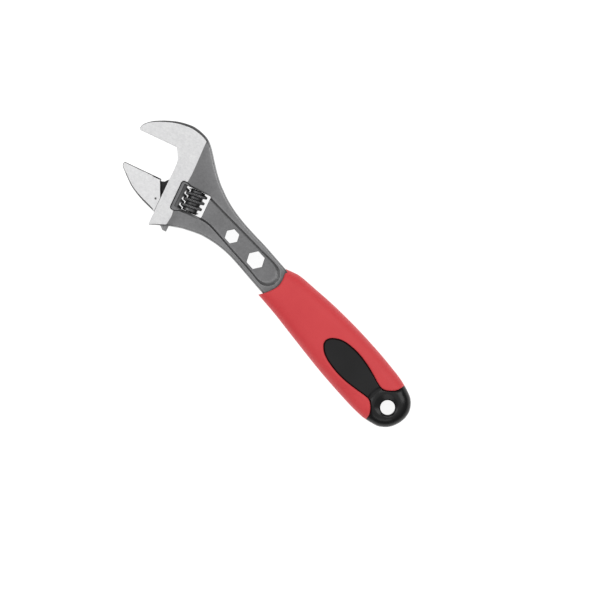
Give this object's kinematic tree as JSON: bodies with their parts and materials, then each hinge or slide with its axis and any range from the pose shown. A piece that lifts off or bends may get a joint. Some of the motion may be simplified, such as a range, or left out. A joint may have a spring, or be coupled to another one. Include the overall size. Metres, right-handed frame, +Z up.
{
  "type": "adjustable wrench",
  "caption": "Adjustable wrench with offset head, sliding jaw driven by a worm and rack, hex holes in the shank, and a two-material moulded grip with a hanging hole.",
  "frame": {"origin": "bottom centre of the whole tool's box, lying flat, jaws as drawn", "axes": "+X along the handle towards the head, +Y towards the moving jaw's side, +Z up out of the flat side"},
  "size_m": [0.249, 0.0644, 0.019],
  "materials": {
    "forged_steel": "satin plated forging with ground, polished jaw faces",
    "jaw_steel": "ground and satin plated faces",
    "worm_steel": "black oxide, fine knurl",
    "pin_steel": "plain turned steel",
    "spring_steel": "drawn wire",
    "black_plastic": "satin moulded black plastic",
    "red_rubber": "soft-touch red elastomer, satin"
  },
  "bodies": {
    "frame": {"body": "forged_steel", "worm_pin": "pin_steel", "worm_spring": "spring_steel", "grip_core": "black_plastic", "grip_cover": "red_rubber"},
    "moving_jaw": {"sliding_jaw": "jaw_steel"},
    "thumb_worm": {"worm": "worm_steel"}
  },
  "joints": [
    {"name": "jaw_slide", "type": "slide", "parent": "frame", "child": "moving_jaw", "axis": [-0.3827, 0.9239, 0], "range_m": [-0.0223, 0.008]},
    {"name": "worm_spin", "type": "hinge", "parent": "frame", "child": "thumb_worm", "pos_m": [0.06682, 0.00164, 0.0095], "axis": [-0.3827, 0.9239, 0], "range_deg": [-721, 2008]}
  ],
  "couplings": [
    {"joint": "worm_spin", "follows": "jaw_slide", "rad_per_m": -1570.8}
  ]
}
